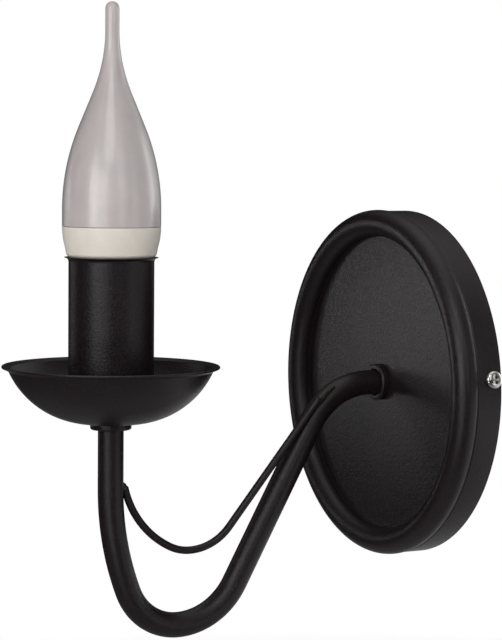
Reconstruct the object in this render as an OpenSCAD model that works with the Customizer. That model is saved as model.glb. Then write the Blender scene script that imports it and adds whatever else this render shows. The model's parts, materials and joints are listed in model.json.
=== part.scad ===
// Candle wall sconce with a U-shaped tube arm, a drip bowl and a flame-tip lamp.
// The wall is the plane Y = 0, the arm reaches towards -Y and Z points up.
// The origin is the centre of the wall plate's back. All sizes are in millimetres.

/* [Wall plate] */
// Outer diameter of the wall plate
plate_d = 140; // [130:1:170]
// Sheet thickness of the wall plate
plate_t = 1; // [0.8:0.1:1.2]
// Height of the rolled bead's centre above the wall
bead_h = 13.3; // [13:0.1:18]
// Radius of the rolled bead's section
bead_r = 5.4; // [4.6:0.1:5.8]
// How far the bead stands out past the side wall
bead_out = 0.4; // [0.2:0.1:0.8]
// Step from the bead's centre down to the edge of the disc
disc_drop = 1.3; // [0.6:0.1:1.6]
// Rise of the disc from its edge to its centre
dome_rise = 0.4; // [0.2:0.1:2.4]

/* [Wall bracket] */
// Width of the bracket's strap
strap_w = 24; // [20:1:30]
// Thickness of the bracket's strap
strap_t = 1.5; // [1.2:0.1:2]
// Distance between the centres of the two wall slots
slot_pitch = 88; // [84:1:94]
// End-to-end length of a wall slot
slot_length = 18; // [10:1:20]
// Width of a wall slot
slot_w = 5; // [4:0.1:6]
// Diameter of the cable hole in the strap
cable_hole_d = 14; // [10:1:16]
// Width of the bent ears that take the side screws
ear_w = 12; // [9:1:14]
// Height of the ears above the wall
ear_h = 8.5; // [7.5:0.1:9.5]

/* [Side screws] */
// Thread diameter of the side screws
side_screw_d = 4; // [3:0.1:4.5]
// Height of the side screws above the wall
side_screw_h = 4; // [3.5:0.1:5]
// Turn of the side screws above the horizontal, in degrees
side_screw_turn = 5.5; // [0:0.5:8]
// Head diameter of the side screws
side_head_d = 7; // [6:0.1:7]
// Head height of the side screws
side_head_h = 2.4; // [1.8:0.1:3]
// Length of the side screws under the head
side_screw_l = 8; // [6:0.5:12]

/* [Arm] */
// Outer diameter of the arm tube
arm_d = 10; // [9:0.1:10]
// Bore of the arm tube
arm_bore = 8; // [7:0.1:8]
// Distance from the wall to the candle's axis
reach = 133.5; // [128:0.5:140]
// Depth of the arm's lowest point under the plate's centre, on the tube's centreline
arm_drop = 92.6; // [84:0.1:100]
// Distance from the candle's axis back to the arm's lowest point
low_inset = 29.2; // [28:0.1:36]
// Distance from the wall to the start of the bend under the plate
arm_stub = 18.4; // [15:0.1:20]
// Centreline radius of the bend under the plate
upper_bend_r = 30.3; // [28:0.1:34]
// Centreline radius of the U between the diagonal and its lowest point
inner_bend_r = 28.7; // [24:0.1:30]
// Centreline radius of the U past its lowest point
outer_bend_r = 23.1; // [22:0.1:26]
// Depth under the plate's centre from which the arm runs straight up to the candle
straight_drop = 37.2; // [30:0.1:44]

/* [Accent rod] */
// Diameter of the rod welded inside the U
rod_d = 3; // [2.4:0.1:3.4]
// How far the rod's upper end stands up past the place where it touches the arm
rod_over = 4.5; // [2:0.1:8]
// How far the rod lies to the arm's side where it touches it
rod_side = 4.2; // [3.4:0.1:5]
// Slope of the rod's straight run, in degrees
rod_angle = 51.5; // [50:0.1:54]
// Length of the rod's straight run
rod_run = 63.7; // [58:0.1:66]
// Centreline radius of the rod's bend before its lowest point
rod_bend_r = 22.1; // [20:0.1:25]

/* [Candle stack] */
// Depth of the bowl's underside under the plate's centre
bowl_drop = 11.35; // [10:0.05:16]
// Diameter of the washer under the bowl
washer_d = 16; // [14:0.1:20]
// Thickness of the washer under the bowl
washer_t = 2.4; // [1.5:0.1:4]
// Outer diameter of the bowl's rim
bowl_d = 84.2; // [78:0.2:90]
// Radius of the bowl's rounded side in section
bowl_curve_r = 34.4; // [33:0.1:36]
// Radius of the bowl's flat bottom
bowl_flat_r = 8.1; // [6.4:0.1:9]
// Sheet thickness of the bowl
bowl_t = 1; // [0.8:0.1:1.4]
// Height of the bowl from its underside to the rim's top
bowl_h = 22.35; // [21:0.05:24]
// Outer diameter of the candle sleeve
sleeve_d = 33; // [32:0.1:35]
// Wall of the candle sleeve
sleeve_t = 0.8; // [0.6:0.1:1]
// Length of the candle sleeve
sleeve_length = 61.8; // [60:0.1:66]
// How far the sleeve's lip flares outwards
lip_flare = 1.6; // [0.8:0.1:2]

/* [Lamp] */
// Largest diameter of the lamp
lamp_d = 38; // [36:0.1:39]
// Height of the lamp's collar above the sleeve's lip
collar_show = 11.7; // [10:0.1:16]
// Height of the envelope above the collar
envelope_h = 85.8; // [82:0.1:92]
// Radius of the envelope's drawn-out tip
tip_r = 2.7; // [2:0.05:3.5]
// Wall of the envelope
envelope_t = 1; // [0.8:0.1:1.4]
// Thread diameter of the lamp's screw cap
cap_d = 13.6; // [13:0.1:13.7]
// Pitch of the screw cap's thread
cap_pitch = 2.82; // [2.5:0.01:3]

/* [Hidden] */
$fn = 96;

black_paint = [0.16, 0.15, 0.15];
zinc = [0.72, 0.74, 0.76];
brass = [0.80, 0.66, 0.32];

// Fits
slip = 0.15;          // radial room of a washer or nut on the tube's thread
thread_gap = 0.05;    // radial room of a screw in its tapped hole
lamp_gap = 0.3;       // room between the lamp and what stays on the arm

// Wall plate
wall_r = plate_d / 2;
bead_c = wall_r + bead_out - bead_r;
crease_angle = -28;
disc_h = bead_h - disc_drop;
disc_angle = 180 + asin(disc_drop / bead_r);
disc_r = bead_c + bead_r * cos(disc_angle);
centre_h = disc_h + dome_rise;
seat_r = arm_d / 2 + 4;
bead_bore_r = bead_r - plate_t;
bore_end_angle = -acos((wall_r - plate_t - bead_c) / bead_bore_r);
bore_start_angle = 180 + asin((disc_drop + plate_t) / bead_bore_r);

// Pieces on the arm's inner end, each stacked on the one before, as heights above the wall
collar_t = 3;
collar_d = arm_d + 4.6;
lock_washer_t = 0.8;
tag_t = 0.8;
tag_w = 4;
tag_tail = 5;
nut_t = 3;
nut_flats = arm_d + 4;
thread_over = 0.5;
lock_washer_h = centre_h - plate_t - lock_washer_t;
ring_tag_h = lock_washer_h - tag_t;
lock_nut_h = ring_tag_h - nut_t;
arm_start_h = lock_nut_h - thread_over;

// Wall bracket
ear_r = wall_r - plate_t - 1.2;
earth_screw_x = -22;
earth_screw_d = 4;
earth_head = [7, 2.2];

// Terminal block on the strap
block = [17, 16, 9];
block_x = 11.5;
pole_pitch = 8;
pole_h = strap_t + 3;
clamp_d = 4;
clamp_bore = 2.6;
clamp_l = 12;
lead_d = 2.2;
lead_gap = 0.2;
lead_side = 1.5;

// Arm centreline, from the plate to the candle. The diagonal touches the bends at both its ends, and
// the sweep carries on from the U's tight part until it is upright
low_point = [low_inset - reach, -arm_drop];
inner_c = low_point + [0, inner_bend_r];
outer_c = low_point + [0, outer_bend_r];
upper_c = [-arm_stub, -upper_bend_r];
bend_span = upper_c - inner_c;
diagonal_angle = atan2(bend_span.y, bend_span.x) + asin((upper_bend_r + inner_bend_r) / norm(bend_span));
diagonal_end = inner_c + inner_bend_r * [sin(diagonal_angle), -cos(diagonal_angle)];
diagonal_start = upper_c + upper_bend_r * [-sin(diagonal_angle), cos(diagonal_angle)];
sweep_rise = -straight_drop - outer_c.y;
outer_bend_angle = 90 - 2 * atan((low_inset - outer_bend_r) / sweep_rise);
sweep_r = outer_bend_r + sweep_rise / cos(outer_bend_angle);
sweep_c = [-reach + sweep_r, -straight_drop];

// Candle stack, as heights on the candle's axis
bowl_z = -bowl_drop;
bowl_c = [bowl_flat_r, bowl_z + bowl_curve_r];
rim_z = bowl_z + bowl_h;
flange_drop = 0.9;
wall_top_z = rim_z - bowl_t - flange_drop;
sleeve_r = sleeve_d / 2;
bowl_inner_r = bowl_curve_r - bowl_t;
sleeve_z = bowl_c.y - sqrt(pow(bowl_inner_r, 2) - pow(sleeve_r - bowl_c.x, 2)) + 0.25;
spacer_t = sleeve_z - bowl_z - bowl_t;
lip_z = sleeve_z + sleeve_length;
stack_nut_z = sleeve_z + sleeve_t;
bush_z = stack_nut_z + nut_t;
bush_h = 9;
bush_d = arm_d + 4;
arm_top_z = bush_z + 7;
bracket_z = bush_z + bush_h;
bracket_t = 1;
bracket_w = 10;
bracket_grip = 10;
body_z = bracket_z + bracket_t + 9;
body_d = 21;
body_floor = 5;

// Accent rod centreline, from its upper end to the candle tube. Its straight run touches the arm
// where the arm's upper bend has the same slope, and leans sideways to lie beside the arm there.
// Its other end is let a little way into the candle tube, which it meets nearly upright
rod_rise = sqrt(pow((arm_d + rod_d) / 2, 2) - pow(rod_side, 2));
rod_touch = upper_c + (upper_bend_r + rod_rise) * [-sin(rod_angle), cos(rod_angle)];
rod_start = rod_touch + rod_over * [cos(rod_angle), sin(rod_angle)];
rod_lean = asin(rod_side / (reach + rod_touch.x));
rod_run_end = rod_start - rod_run * [cos(rod_angle), sin(rod_angle)];
rod_inner_c = rod_run_end + rod_bend_r * [-sin(rod_angle), cos(rod_angle)];
rod_low_r = 18.4;
rod_low_angle = 26.4;
rod_low_c = rod_inner_c + [0, rod_low_r - rod_bend_r];
rod_end_angle = 78.4;
rod_end_r = arm_d / 2 + 0.7;
rod_sweep_r = (rod_low_c.x + reach - rod_end_r - rod_low_r * sin(rod_low_angle))
    / (sin(rod_end_angle) - sin(rod_low_angle));
rod_sweep_c = rod_low_c + (rod_sweep_r - rod_low_r) * [sin(rod_low_angle), cos(rod_low_angle)];
rod_end = rod_sweep_c - rod_sweep_r * [sin(rod_end_angle), cos(rod_end_angle)];

// Lamp, as heights on the candle's axis
lamp_r = lamp_d / 2;
cap_r = cap_d / 2;
shell_r = cap_r + lamp_gap;
shell_t = 0.4;
thread_depth = 0.5;
cap_turns = 5;
seam_z = lip_z + collar_show;
contact_z = body_z + body_floor + 1.9 + lamp_gap;
contact_h = 1.4;
insulator_h = 2.6;
cap_z = contact_z + contact_h + insulator_h;
cap_thread_h = cap_turns * cap_pitch;
cap_h = cap_thread_h + 4;
collar_z = cap_z + cap_h - 1.5;
shell_h = cap_thread_h + 3;
body_h = cap_z + cap_thread_h + 1 - body_z;
seat_h = 1.6;
board_low = 4;
board_gap = 5;

// Outline of the envelope: a barrel curve and a tip curve, joined by the straight line that touches both.
// Their radii stay a little under those at which the curves would meet without it
barrel_z = seam_z + 6.6;
tip_curve_z = seam_z + envelope_h - tip_r - 8.1;
meeting_r = (pow(lamp_r - tip_r, 2) + pow(tip_curve_z - barrel_z, 2)) / (2 * (lamp_r - tip_r));
barrel_curve_r = 0.55 * meeting_r;
tip_curve_r = 0.41 * meeting_r;
curve_span = [barrel_curve_r + tip_curve_r - lamp_r + tip_r, tip_curve_z - barrel_z];
shoulder_angle = atan2(curve_span.y, curve_span.x) - acos((barrel_curve_r + tip_curve_r) / norm(curve_span));

// Routes of the leads: hand-picked points as [x, y, z] at both ends, the arm's centreline between
block_entry = block_x + 2;
wall_end = [
    [block_entry, -pole_h, pole_pitch / 2], [block_x - 1, -pole_h, pole_pitch / 2],
    [8.5, -pole_h + 0.3, 3.2], [5.4, 2.6 - arm_start_h, 1.8], [2.9, 2.4 - arm_start_h, 0.7],
    [1.6, 1.2 - arm_start_h, 0.1]
];

// ---- shared shapes ----

function arc(c, r, a0, a1, n) = [
    for (i = [0:n]) let (a = a0 + (a1 - a0) * i / n) c + r * [cos(a), sin(a)]
];

// Turns the height above the wall into -Y
module on_wall() {
    rotate([90, 0, 0]) children();
}

// Puts a child on the candle's vertical axis at a height
module on_candle(z) {
    translate([0, -reach, z]) children();
}

module ring(d, bore, h) {
    difference() {
        cylinder(d = d, h = h);
        translate([0, 0, -1]) cylinder(d = bore, h = h + 2);
    }
}

module hex_nut(flats, bore, h) {
    difference() {
        intersection() {
            cylinder(d = flats / cos(30), h = h, $fn = 6);
            rotate_extrude() polygon([
                [0, 0], [flats / 2, 0], [flats / 2 + 1, 0.6],
                [flats / 2 + 1, h - 0.6], [flats / 2, h], [0, h]
            ]);
        }
        translate([0, 0, -1]) cylinder(d = bore, h = h + 2);
    }
}

// A pan-head screw with a cross recess: the head stands on z = 0 and the shank points down
module pan_screw(d, length, head_d, head_h) {
    recess = head_d * 0.56;
    slot = head_d * 0.15;
    difference() {
        union() {
            rotate_extrude() polygon(concat(
                [[0, 0], [head_d / 2, 0], [head_d / 2, head_h * 0.45]],
                arc([head_d / 2 - head_h * 0.55, head_h * 0.45], head_h * 0.55, 0, 90, 6),
                [[0, head_h]]
            ));
            translate([0, 0, -length]) cylinder(d = d - 2 * thread_gap, h = length + 0.1);
        }
        for (a = [0, 90]) rotate([0, 0, a])
            translate([-recess / 2, -slot / 2, head_h * 0.4]) cube([recess, slot, head_h]);
    }
}

// A zigzag of turned thread crests as [radius, height] points, from z0 up
function crests(r, depth, pitch, z0, turns) = [
    for (i = [0:turns - 1]) each [
        [r - depth, z0 + i * pitch], [r, z0 + (i + 0.35) * pitch],
        [r, z0 + (i + 0.65) * pitch], [r - depth, z0 + (i + 1) * pitch]
    ]
];

// Tube through a list of 3D points: each ring is squared to the route without twisting
function unit(v) = v / norm(v);
function heading(p, i) = unit(p[min(i + 1, len(p) - 1)] - p[max(i - 1, 0)]);
function squared(v, t) = unit(v - (v * t) * t);
function sides(p, i, v) = i >= len(p) ? [] :
    let (s = squared(v, heading(p, i))) concat([s], sides(p, i + 1, s));
function rings(p, r, n) = let (s = sides(p, 0, [0.3, 0.2, 1])) [
    for (i = [0:len(p) - 1]) for (k = [0:n - 1])
        let (w = cross(heading(p, i), s[i]), a = 360 * k / n)
            p[i] + r * (cos(a) * s[i] + sin(a) * w)
];

// Faces between the rings of one wall, whose points start at number first
function wall_faces(count, n, first, inward) = [
    for (i = [0:count - 2]) for (k = [0:n - 1])
        let (a = first + i * n + k, b = first + i * n + (k + 1) % n, f = [a, a + n, b + n, b])
            inward ? [f[3], f[2], f[1], f[0]] : f
];

module rod_along(p, d, n) {
    last = (len(p) - 1) * n;
    polyhedron(rings(p, d / 2, n), concat(
        [[for (k = [0:n - 1]) k], [for (k = [n - 1:-1:0]) last + k]],
        wall_faces(len(p), n, 0, false)
    ));
}

module tube_along(p, d, bore, n) {
    last = (len(p) - 1) * n;
    inner = len(p) * n;
    polyhedron(concat(rings(p, d / 2, n), rings(p, bore / 2, n)), concat(
        wall_faces(len(p), n, 0, false),
        wall_faces(len(p), n, inner, true),
        [for (k = [0:n - 1]) let (j = (k + 1) % n) [k, j, inner + j, inner + k]],
        [for (k = [0:n - 1]) let (j = (k + 1) % n) [last + k, inner + last + k, inner + last + j, last + j]]
    ));
}

// Arm centreline in the plane X = 0 as [y, z] points, with a point at about every step degrees of bend
function bend_points(c, r, a0, a1, step) = arc(c, r, a0, a1, ceil(abs(a1 - a0) / step));
function arm_bends(step) = concat(
    bend_points(upper_c, upper_bend_r, 90, 90 + diagonal_angle, step),
    bend_points(inner_c, inner_bend_r, 270 + diagonal_angle, 270, step),
    bend_points(outer_c, outer_bend_r, 270 - step, 270 - outer_bend_angle, step),
    bend_points(sweep_c, sweep_r, 270 - outer_bend_angle - step, 180, step)
);
function arm_line(step, start, end) = concat([[-start, 0]], arm_bends(step), [[-reach, end]]);

// The same line moved sideways by x, as 3D points
function arm_route(x) = [for (p = arm_line(9, arm_start_h - 1, arm_top_z + 1)) [x, p.x, p.y]];

// Top end of a lead, from the arm tube to its hole in the holder's floor
function top_end(side) = [
    [side * (lead_side + 0.2), -reach + side * 1.2, bracket_z + bracket_t + 1],
    [side * (lead_side + 0.5), -reach + side * 3.6, bracket_z + bracket_t + 3.6],
    [side * (lead_side + 0.3), -reach + side * 5.4, body_z - 2.4],
    [side * lead_side, -reach + side * 5.8, body_z],
    [side * lead_side, -reach + side * 5.8, body_z + 2]
];

// ---- wall plate and bracket ----

module wall_plate() {
    dome = concat(
        [for (i = [0:9]) [disc_r - (disc_r - seat_r) * i / 9, centre_h - dome_rise * pow(1 - i / 9, 2)]],
        [[0, centre_h]]
    );
    outside = concat(
        [[wall_r, 0], [wall_r, bead_h + bead_r * sin(crease_angle) - 0.4]],
        arc([bead_c, bead_h], bead_r, crease_angle, disc_angle, 36),
        [for (i = [1:10]) dome[i]]
    );
    inside = concat(
        [for (i = [10:-1:0]) dome[i] - [0, plate_t]],
        arc([bead_c, bead_h], bead_bore_r, bore_start_angle, bore_end_angle, 24),
        [[wall_r - plate_t, 0]]
    );
    color(black_paint) on_wall() difference() {
        rotate_extrude($fn = 180) polygon(concat(outside, inside));
        cylinder(d = arm_d + 2 * slip, h = 3 * bead_h);
        for (k = [0, 180]) rotate([0, 0, side_screw_turn + k]) translate([0, 0, side_screw_h])
            rotate([0, 90, 0]) cylinder(d = side_screw_d + 2 * slip, h = wall_r + 5);
    }
}

module wall_bracket() {
    color(zinc) on_wall() difference() {
        union() {
            translate([-ear_r + strap_t, -strap_w / 2, 0]) cube([2 * (ear_r - strap_t), strap_w, strap_t]);
            for (k = [0, 180]) rotate([0, 0, side_screw_turn + k]) {
                translate([ear_r - strap_t, -ear_w / 2, 0]) cube([strap_t, ear_w, ear_h]);
                translate([ear_r - 2 * ear_w / 3, -ear_w / 2, 0]) cube([2 * ear_w / 3, ear_w, strap_t]);
            }
        }
        translate([0, 0, -1]) cylinder(d = cable_hole_d, h = strap_t + 2);
        translate([earth_screw_x, 0, -1]) cylinder(d = earth_screw_d, h = strap_t + 2);
        for (s = [-1, 1]) {
            for (e = [-1, 1]) translate([s * slot_pitch / 2 + e * (slot_length - slot_w) / 2, 0, -1])
                cylinder(d = slot_w, h = strap_t + 2);
            translate([s * slot_pitch / 2 - (slot_length - slot_w) / 2, -slot_w / 2, -1])
                cube([slot_length - slot_w, slot_w, strap_t + 2]);
        }
        for (k = [0, 180]) rotate([0, 0, side_screw_turn + k]) translate([ear_r - 5, 0, side_screw_h])
            rotate([0, 90, 0]) cylinder(d = side_screw_d, h = 10);
    }
}

module side_screws() {
    color(zinc) on_wall() for (k = [0, 180]) rotate([0, 0, side_screw_turn + k])
        translate([wall_r, 0, side_screw_h]) rotate([0, 90, 0])
            pan_screw(side_screw_d, side_screw_l, side_head_d, side_head_h);
}

module earth_screw() {
    color(brass) on_wall() translate([earth_screw_x, 0, strap_t + tag_t])
        pan_screw(earth_screw_d, strap_t + tag_t, earth_head.x, earth_head.y);
}

// One ring tag under the arm's lock nut and one under the earth screw
module earth_tags() {
    color(zinc) on_wall() {
        translate([0, 0, ring_tag_h]) difference() {
            union() {
                cylinder(d = nut_flats + 2, h = tag_t);
                translate([-nut_flats / 2 - tag_tail, -tag_w / 2, 0]) cube([tag_tail + 2, tag_w, tag_t]);
            }
            translate([0, 0, -1]) cylinder(d = arm_d + 2 * slip, h = tag_t + 2);
        }
        translate([earth_screw_x, 0, strap_t]) difference() {
            union() {
                cylinder(d = earth_head.x + 1, h = tag_t);
                translate([-tag_w / 2, 0, 0]) cube([tag_w, earth_head.x / 2 + tag_tail, tag_t]);
            }
            translate([0, 0, -1]) cylinder(d = earth_screw_d, h = tag_t + 2);
        }
    }
}

module terminal_block() {
    color("ivory") on_wall() difference() {
        translate([block_x, -block.y / 2, strap_t]) cube(block);
        for (s = [-1, 1]) translate([block_x, s * pole_pitch / 2, 0]) {
            translate([-1, 0, pole_h]) rotate([0, 90, 0])
                cylinder(d = lead_d + 2 * lead_gap, h = block.x + 2);
            translate([(block.x - clamp_l) / 2, 0, pole_h]) rotate([0, 90, 0])
                cylinder(d = clamp_d, h = clamp_l);
            for (e = [-1, 1]) translate([block.x / 2 + e * clamp_l / 4, 0, pole_h])
                cylinder(d = 3.4, h = block.z);
        }
        translate([block_x + block.x / 2, -1, strap_t + block.z - 2.5]) cube([block.x, 2, 5], center = true);
    }
}

module terminal_clamps() {
    color(brass) on_wall() for (s = [-1, 1])
        translate([block_x + (block.x - clamp_l) / 2, s * pole_pitch / 2, pole_h]) difference() {
            rotate([0, 90, 0]) ring(clamp_d - 2 * thread_gap, clamp_bore, clamp_l);
            for (e = [-1, 1]) translate([clamp_l / 2 + e * clamp_l / 4, 0, 0]) cylinder(d = 2.5, h = 5);
        }
}

module terminal_screws() {
    color(zinc) on_wall() for (s = [-1, 1], e = [-1, 1])
        translate([block_x + block.x / 2 + e * clamp_l / 4, s * pole_pitch / 2, pole_h + 0.6]) difference() {
            cylinder(d = 2.4, h = 4.2);
            translate([-2, -0.25, 3.4]) cube([4, 0.5, 2]);
        }
}

// ---- arm ----

module arm_tube() {
    line = [for (p = arm_line(5, arm_start_h, arm_top_z)) [0, p.x, p.y]];
    color(black_paint) tube_along(line, arm_d, arm_bore, 24);
}

// The rod lies in a plane that leans a little about the candle's axis
module rod_plane() {
    translate([0, -reach, 0]) rotate([0, 0, -rod_lean]) translate([0, reach, 0]) children();
}

module accent_rod() {
    bends = concat(
        bend_points(rod_inner_c, rod_bend_r, 270 + rod_angle, 270, 7),
        bend_points(rod_low_c, rod_low_r, 264, 270 - rod_low_angle, 7),
        bend_points(rod_sweep_c, rod_sweep_r, 264 - rod_low_angle, 270 - rod_end_angle, 7)
    );
    line = [for (p = concat([rod_start], bends)) [0, p.x, p.y]];
    color(black_paint) difference() {
        rod_plane() rod_along(line, rod_d, 12);
        on_candle(rod_end.y - arm_d) cylinder(d = arm_d, h = 2 * arm_d);
        translate([0, upper_c.x, upper_c.y]) rotate([90, 0, 90])
            rotate_extrude(angle = diagonal_angle, start = 90) translate([upper_bend_r, 0])
                circle(d = arm_d);
        translate([0, diagonal_end.x, diagonal_end.y]) rotate([diagonal_angle - 90, 0, 0])
            cylinder(d = arm_d, h = norm(diagonal_end - diagonal_start) - 0.01);
    }
}

// A weld that tapers up the arm from the rod's upper end, and one over the rod's end at the candle tube
module rod_welds() {
    weld_d = 3;
    spacing = 1.6;
    taper = 0.4;
    grip = (arm_d + 0.6) / (arm_d + rod_d);
    color(black_paint) {
        for (i = [0:3]) let (
            a = rod_angle - (rod_over + 0.9 + i * spacing) / upper_bend_r * 180 / PI,
            p = upper_c + (upper_bend_r + grip * rod_rise) * [-sin(a), cos(a)]
        )
            translate([grip * rod_side, p.x, p.y]) sphere(d = weld_d - i * taper, $fn = 32);
        rod_plane() translate([0, rod_end.x - 0.2, rod_end.y + 0.9]) sphere(d = weld_d - taper, $fn = 32);
    }
}

module arm_collar() {
    color(black_paint) on_wall() translate([0, 0, centre_h]) difference() {
        rotate_extrude() polygon(concat(
            [[0, 0], [collar_d / 2 - 0.4, 0], [collar_d / 2, 0.4]],
            arc([collar_d / 2 - 0.9, collar_t - 0.9], 0.9, 0, 90, 8),
            [[0, collar_t]]
        ));
        translate([0, 0, -1]) cylinder(d = arm_d + 2 * slip, h = collar_t + 2);
    }
}

module arm_lock_washer() {
    color(zinc) on_wall() translate([0, 0, lock_washer_h]) difference() {
        ring(nut_flats + 1, arm_d + 2 * slip, lock_washer_t);
        for (a = [0:30:330]) rotate([0, 0, a]) translate([nut_flats / 2 - 0.4, -0.5, -1])
            cube([3, 1, lock_washer_t + 2]);
    }
}

module arm_lock_nut() {
    color(zinc) on_wall() translate([0, 0, lock_nut_h])
        hex_nut(nut_flats, arm_d + 2 * slip, nut_t);
}

// Plastic bush that keeps the leads off the tube's edge
module lead_bush() {
    color("ivory") on_wall() translate([0, 0, arm_start_h]) difference() {
        union() {
            translate([0, 0, -1]) cylinder(d = arm_d, h = 1);
            cylinder(d = arm_bore - 0.2, h = 4);
        }
        translate([0, 0, -2]) cylinder(d = 5.9, h = 8);
    }
}

// ---- candle stack ----

module bowl_washer() {
    color(black_paint) on_candle(bowl_z - washer_t) difference() {
        rotate_extrude() polygon(concat(
            [[0, 0]],
            arc([washer_d / 2 - 0.8, 0.8], 0.8, -90, 0, 6),
            [[washer_d / 2, washer_t], [0, washer_t]]
        ));
        translate([0, 0, -1]) cylinder(d = arm_d + 2 * slip, h = washer_t + 2);
    }
}

module drip_bowl() {
    end_out = asin((wall_top_z - bowl_c.y) / bowl_curve_r);
    end_in = asin((wall_top_z + bowl_t - bowl_c.y) / bowl_inner_r);
    outside = concat([[0, bowl_z]], arc(bowl_c, bowl_curve_r, -90, end_out, 28));
    rim = [
        [bowl_d / 2 - 0.2, rim_z - bowl_t], [bowl_d / 2, rim_z - bowl_t / 2], [bowl_d / 2 - 0.2, rim_z]
    ];
    inside = concat(arc(bowl_c, bowl_inner_r, end_in, -90, 28), [[0, bowl_z + bowl_t]]);
    color(black_paint) on_candle(0) difference() {
        rotate_extrude($fn = 144) polygon(concat(outside, rim, inside));
        translate([0, 0, bowl_z - 1]) cylinder(d = arm_d + 2 * slip, h = 5);
    }
}

module sleeve_spacer() {
    color(zinc) on_candle(bowl_z + bowl_t) ring(2 * bowl_flat_r - 0.4, arm_d + 2 * slip, spacer_t);
}

module candle_sleeve() {
    lip_h = lip_flare + 0.2;
    lip_angle = 180 - asin(lip_h / (lip_flare + sleeve_t));
    outside = concat(
        [[0, 0]],
        arc([sleeve_r - 0.8, 0.8], 0.8, -90, 0, 6),
        arc([sleeve_r + lip_flare, sleeve_length - lip_h], lip_flare, 180, 108, 8)
    );
    lip = [[sleeve_r + lip_flare, sleeve_length - 0.2], [sleeve_r + lip_flare, sleeve_length]];
    inside = concat(
        arc([sleeve_r + lip_flare, sleeve_length - lip_h], lip_flare + sleeve_t, lip_angle, 180, 8),
        [[sleeve_r - sleeve_t, sleeve_t], [0, sleeve_t]]
    );
    color(black_paint) on_candle(sleeve_z) difference() {
        rotate_extrude($fn = 144) polygon(concat(outside, lip, inside));
        translate([0, 0, -1]) cylinder(d = arm_d + 2 * slip, h = 4);
    }
}

module stack_nut() {
    color(zinc) on_candle(stack_nut_z) hex_nut(nut_flats, arm_d + 2 * slip, nut_t);
}

// ---- lampholder ----

module holder_bush() {
    color(zinc) on_candle(bush_z) difference() {
        cylinder(d = bush_d, h = bush_h);
        translate([0, 0, -1]) cylinder(d = arm_d + 2 * slip, h = arm_top_z - bush_z + 1.2);
        cylinder(d = arm_bore, h = bush_h + 1);
    }
}

module holder_bracket() {
    span = body_d + 2 * bracket_t;
    color(zinc) on_candle(bracket_z) difference() {
        union() {
            translate([-span / 2, -bracket_w / 2, 0]) cube([span, bracket_w, bracket_t]);
            for (s = [-1, 1]) translate([s * (span - bracket_t) / 2 - bracket_t / 2, -bracket_w / 2, 0])
                cube([bracket_t, bracket_w, body_z - bracket_z + bracket_grip]);
        }
        translate([0, 0, -1]) cylinder(d = arm_bore, h = bracket_t + 2);
        for (s = [-1, 1]) translate([s * span / 2, 0, body_z - bracket_z + 6])
            rotate([0, 90, 0]) cylinder(d = 3, h = 4, center = true);
    }
}

module holder_body() {
    color([0.12, 0.11, 0.11]) on_candle(body_z) difference() {
        union() {
            intersection() {
                cylinder(d = body_d, h = body_h);
                translate([-body_d / 2 + 0.4, -body_d, 0]) cube([body_d - 0.8, 2 * body_d, body_h]);
            }
            for (s = [-1, 1]) translate([s * (body_d / 2 - 0.2), 0, 6])
                rotate([0, 90, 0]) cylinder(d = 3 - 2 * slip, h = 1.6, center = true);
        }
        translate([0, 0, body_floor]) cylinder(r = shell_r + thread_depth + shell_t + thread_gap, h = body_h);
        for (s = [-1, 1]) {
            translate([s * lead_side, s * 5.8, -1]) cylinder(d = lead_d + 2 * lead_gap, h = body_floor - 1);
            translate([-s * 3.6, s * 5.8, -1]) cylinder(d = 3, h = body_floor + 2);
        }
    }
}

module holder_shell() {
    inner = crests(shell_r + thread_depth, thread_depth, cap_pitch, 1.5, cap_turns);
    outer = [for (i = [len(inner) - 1:-1:0]) inner[i] + [shell_t, 0]];
    color(brass) on_candle(cap_z - 2) rotate_extrude() polygon(concat(
        [[shell_r + shell_t, 0], [shell_r, 0]], inner,
        [[shell_r, shell_h], [shell_r + shell_t, shell_h]], outer
    ));
}

// Bent spring tongue under the lamp's centre contact
module holder_contact() {
    color(brass) on_candle(body_z + body_floor) {
        translate([-2, -6, 0]) cube([4, 9, 0.4]);
        translate([-2, 2.6, 0]) cube([4, 0.4, 1.9]);
        translate([-2, -2.5, 1.5]) cube([4, 5.5, 0.4]);
    }
}

module holder_screws() {
    color(zinc) on_candle(body_z) for (s = [-1, 1]) translate([-s * 3.6, s * 5.8, 0]) difference() {
        union() {
            translate([0, 0, -1.6]) cylinder(d = 5, h = 1.6);
            translate([0, 0, -0.1]) cylinder(d = 3 - 2 * thread_gap, h = body_floor - 0.5);
        }
        translate([-3, -0.4, -2.4]) cube([6, 0.8, 1.6]);
    }
}

// ---- leads ----

module lead_live() {
    color("saddlebrown") rod_along(concat(wall_end, arm_route(lead_side), top_end(1)), lead_d, 8);
}

module lead_neutral() {
    wall_end_neutral = concat(
        [for (i = [0:3]) [wall_end[i].x, wall_end[i].y, -wall_end[i].z]],
        [[2.2, 2.6 - arm_start_h, -1.9], [-0.2, 2.2 - arm_start_h, -1.1], [-1.3, 1.1 - arm_start_h, -0.2]]
    );
    color("steelblue") rod_along(concat(wall_end_neutral, arm_route(-lead_side), top_end(-1)), lead_d, 8);
}

module lead_earth() {
    ring_end = nut_flats / 2 + tag_tail;
    screw_end = earth_head.x / 2 + tag_tail;
    ring_mid_h = ring_tag_h + tag_t / 2 - 0.2;
    low_h = strap_t + lead_d / 2 + 0.1;
    color("yellowgreen") rod_along([
        [-ring_end - 0.1, -ring_mid_h, 0], [-ring_end - 2, -ring_mid_h, 0.1], [-16.6, 0.6 - ring_mid_h, 1.6],
        [-18.8, -8.2, 4.8], [-20.4, -6.8, 8.6], [-21.6, -5.3, 11.1], [earth_screw_x, -3.8, 12.3],
        [earth_screw_x, -low_h - 0.2, screw_end + 2.5], [earth_screw_x, -low_h, screw_end]
    ], lead_d, 8);
}

// ---- lamp ----

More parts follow.
